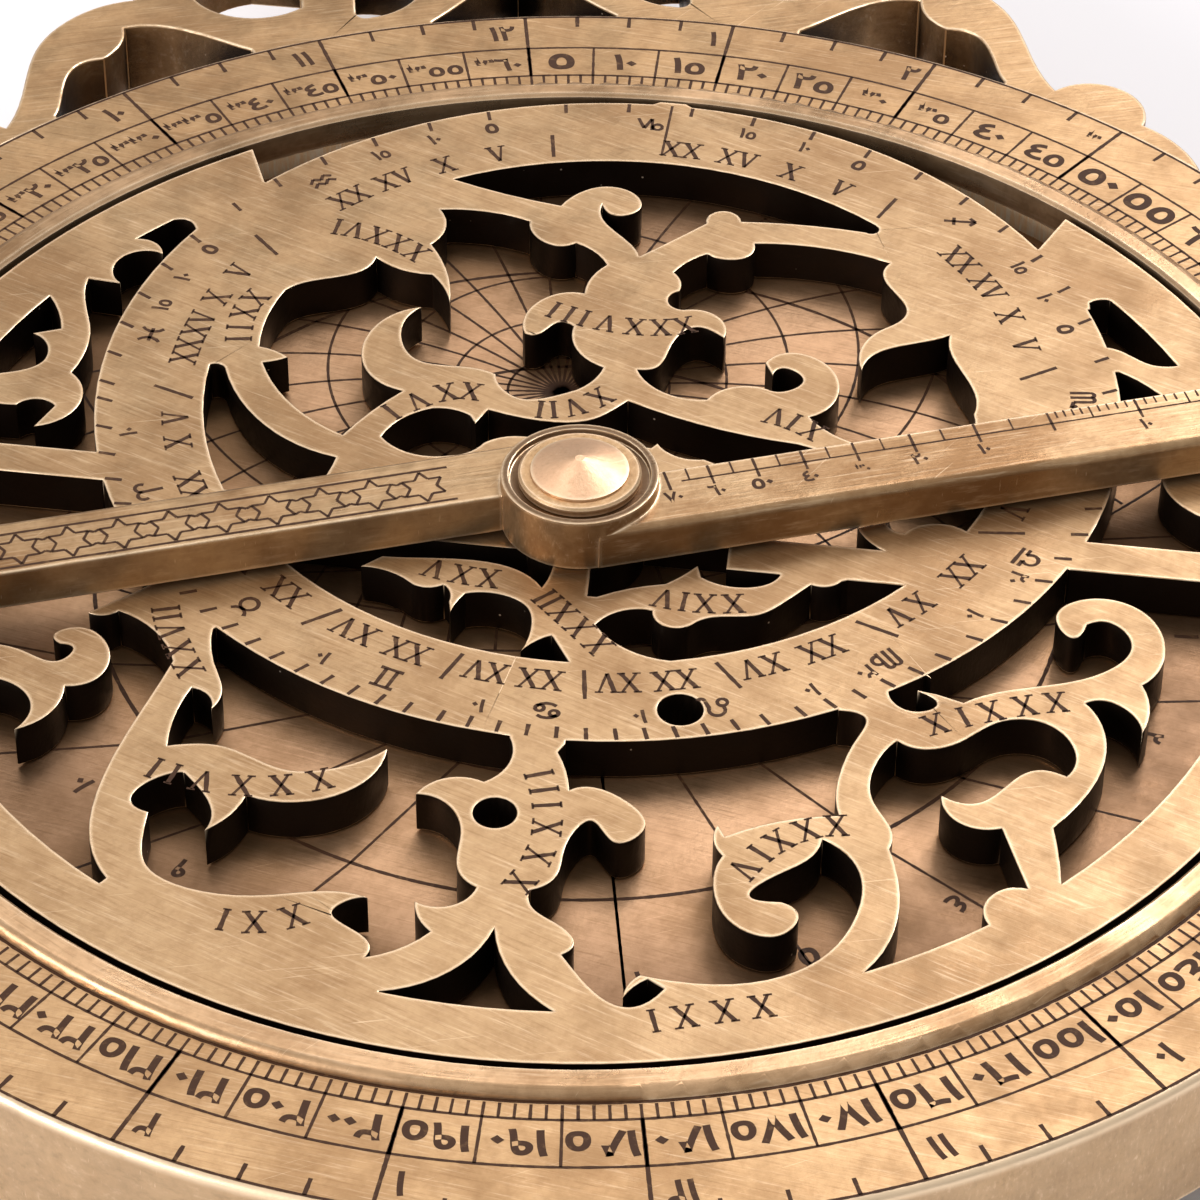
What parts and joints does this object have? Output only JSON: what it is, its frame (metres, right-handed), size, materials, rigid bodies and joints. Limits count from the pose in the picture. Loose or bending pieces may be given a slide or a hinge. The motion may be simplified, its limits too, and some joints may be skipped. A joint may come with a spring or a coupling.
{
  "type": "planispheric astrolabe",
  "caption": "Hand-held brass planispheric astrolabe: graduated mater, openwork rete and rule turning over latitude plates, with a sighting alidade on the back.",
  "frame": {"origin": "on the turning axis, level with the graduated face of the limb", "axes": "+Z out of the face, +Y from the centre to the throne and its suspension ring, +X to the right of the face"},
  "size_m": [0.1212, 0.1823, 0.0216],
  "materials": {
    "brass_face": "satin, aged, with dark filled engraving",
    "brass_lip": "worn bright on its rounded edge",
    "brass_back": "satin, aged",
    "brass_plate": "straight brushed, coppery, with dark filled engraving",
    "brass_throne": "satin, aged, bright on its edges",
    "brass_rete": "aged and mottled, walls dark, edges worn bright",
    "brass_rule": "brushed along its length, edges worn bright",
    "brass_fittings": "satin, worn",
    "copper_pin": "turned, coppery, half bright"
  },
  "bodies": {
    "mater": {"limb": "brass_face", "lip_ring": "brass_lip", "back_plate": "brass_back", "limb_rivets": "brass_back", "throne_rivets": "brass_back", "plate_peg": "brass_fittings", "latitude_plate_1": "brass_plate", "latitude_plate_2": "brass_plate", "latitude_plate_3": "brass_plate", "throne": "brass_throne", "shackle_pin": "brass_fittings", "collar": "brass_fittings", "centre_pin": "copper_pin", "washer": "brass_fittings"},
    "rete": {"rete": "brass_rete"},
    "rule": {"rule": "brass_rule"},
    "shackle": {"shackle": "brass_fittings"},
    "ring": {"suspension_ring": "brass_fittings"},
    "wedge": {"horse_wedge": "brass_fittings"},
    "alidade": {"alidade": "brass_rule", "vane_pin_upper": "brass_fittings", "vane_pin_lower": "brass_fittings"},
    "vane_upper": {"sight_vane_upper": "brass_fittings"},
    "vane_lower": {"sight_vane_lower": "brass_fittings"}
  },
  "joints": [
    {"name": "rete_turn", "type": "hinge", "parent": "mater", "child": "rete", "pos_m": [0, 0, -0.0011], "axis": [0, 0, 1], "continuous": true},
    {"name": "rule_turn", "type": "hinge", "parent": "mater", "child": "rule", "pos_m": [0, 0, 0.0024], "axis": [0, 0, 1], "continuous": true},
    {"name": "alidade_turn", "type": "hinge", "parent": "mater", "child": "alidade", "pos_m": [0, 0, -0.0113], "axis": [0, 0, 1], "continuous": true},
    {"name": "upper_sight_fold", "type": "hinge", "parent": "alidade", "child": "vane_upper", "pos_m": [0, 0.047, -0.0137], "axis": [1, 0, 0], "range_deg": [0, 90]},
    {"name": "lower_sight_fold", "type": "hinge", "parent": "alidade", "child": "vane_lower", "pos_m": [0, -0.047, -0.0137], "axis": [-1, 0, 0], "range_deg": [0, 90]},
    {"name": "wedge_slide", "type": "slide", "parent": "mater", "child": "wedge", "axis": [1, 0, 0], "range_m": [0, 0.012]},
    {"name": "shackle_swing", "type": "hinge", "parent": "mater", "child": "shackle", "pos_m": [0, 0.0875, -0.0035], "axis": [0, 0, 1], "range_deg": [-50, 50]},
    {"name": "ring_swing", "type": "hinge", "parent": "shackle", "child": "ring", "pos_m": [0, 0.09425, -0.0035], "axis": [1, 0, 0], "range_deg": [-100, 100]}
  ]
}
